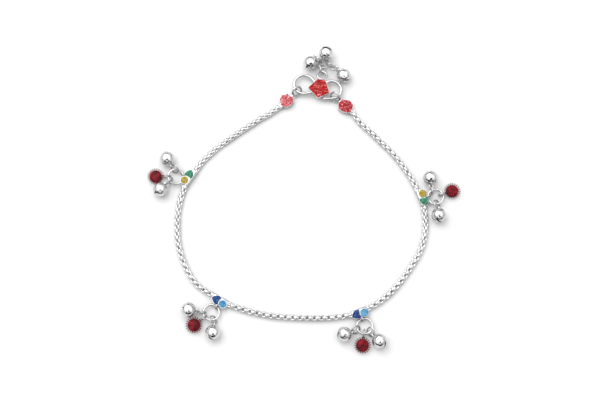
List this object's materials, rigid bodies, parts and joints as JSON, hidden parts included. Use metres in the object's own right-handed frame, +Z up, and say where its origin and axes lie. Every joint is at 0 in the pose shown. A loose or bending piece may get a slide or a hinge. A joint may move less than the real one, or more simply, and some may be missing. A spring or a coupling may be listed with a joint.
{
  "type": "payal anklet",
  "caption": "Silver payal anklet: a box chain with four enamelled stations, an S-hook clasp, eleven round bells and four ruby drops.",
  "frame": {"origin": "centre of the box around the lying anklet, on the surface that it rests on", "axes": "+Z up out of that surface, +Y towards the clasp, +X to the right as seen from above"},
  "size_m": [0.1143, 0.1148, 0.0065],
  "materials": {
    "silver": "polished, with darkened recesses",
    "enamel_green": "glossy enamel",
    "enamel_yellow": "glossy enamel",
    "enamel_navy": "glossy enamel",
    "enamel_sky": "glossy enamel",
    "enamel_rose": "translucent enamel",
    "enamel_garnet": "translucent enamel",
    "enamel_red": "translucent enamel",
    "ruby": "flat-faceted, mottled"
  },
  "bodies": {
    "root": {"bell_clasp_back": "silver", "bell_clasp_left": "silver", "bell_clasp_right": "silver", "bell_front_left_front": "silver", "bell_front_left_side": "silver", "bell_front_right_front": "silver", "bell_front_right_side": "silver", "bell_left_back": "silver", "bell_left_front": "silver", "bell_right_back": "silver", "bell_right_front": "silver", "cap_enamel_left": "enamel_rose", "cap_enamel_right": "enamel_garnet", "chain_back_left": "silver", "chain_back_right": "silver", "chain_front": "silver", "chain_left": "silver", "chain_right": "silver", "cluster_link_bell": "silver", "cluster_link_hook": "silver", "cluster_ring": "silver", "drop_crown_front_left": "silver", "drop_crown_front_right": "silver", "drop_crown_left": "silver", "drop_crown_right": "silver", "drop_ruby_front_left": "ruby", "drop_ruby_front_right": "ruby", "drop_ruby_left": "ruby", "drop_ruby_right": "ruby", "end_cap_left": "silver", "end_cap_right": "silver", "hang_ring_front_left": "silver", "hang_ring_front_right": "silver", "hang_ring_left": "silver", "hang_ring_right": "silver", "hook": "silver", "hook_enamel": "enamel_red", "jump_ring_clasp_left": "silver", "jump_ring_clasp_right": "silver", "jump_ring_front_left_front": "silver", "jump_ring_front_left_side": "silver", "jump_ring_front_right_front": "silver", "jump_ring_front_right_side": "silver", "jump_ring_left_back": "silver", "jump_ring_left_front": "silver", "jump_ring_right_back": "silver", "jump_ring_right_front": "silver", "leaf_enamel_front_left": "enamel_navy", "leaf_enamel_front_right": "enamel_navy", "leaf_enamel_left": "enamel_green", "leaf_enamel_right": "enamel_green", "round_enamel_front_left": "enamel_sky", "round_enamel_front_right": "enamel_sky", "round_enamel_left": "enamel_yellow", "round_enamel_right": "enamel_yellow", "station_front_left": "silver", "station_front_right": "silver", "station_left": "silver", "station_right": "silver"}
  },
  "joints": []
}
